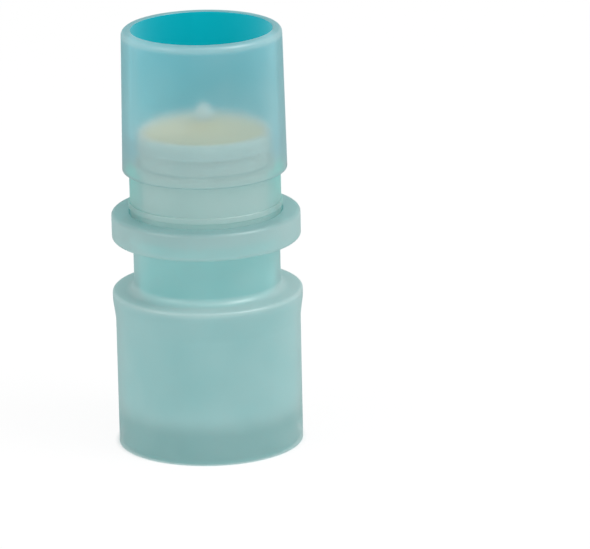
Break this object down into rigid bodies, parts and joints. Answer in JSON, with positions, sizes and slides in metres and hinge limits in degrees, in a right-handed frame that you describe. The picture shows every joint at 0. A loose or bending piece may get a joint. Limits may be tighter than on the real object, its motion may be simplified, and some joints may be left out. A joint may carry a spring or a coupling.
{
  "type": "spirometry filter mouthpiece",
  "caption": "Translucent aqua plastic filter mouthpiece for a spirometer: conical mouth tube, waisted flange, device socket, and a felt filter disc on a spoked holder inside.",
  "frame": {"origin": "centre of the flat end of the device socket, on the axis, where the part rests", "axes": "+Z along the axis, from the device socket up to the mouth end; round about Z"},
  "size_m": [0.0358, 0.0358, 0.08],
  "materials": {
    "aqua_polypropylene": "frosted translucent moulding",
    "natural_polypropylene": "milky natural moulding",
    "electret_felt": "fine cream needled felt"
  },
  "bodies": {
    "root": {"mouth_tube": "aqua_polypropylene", "device_socket": "aqua_polypropylene", "filter_holder": "natural_polypropylene", "retaining_ring": "natural_polypropylene", "filter_disc": "electret_felt"}
  },
  "joints": []
}
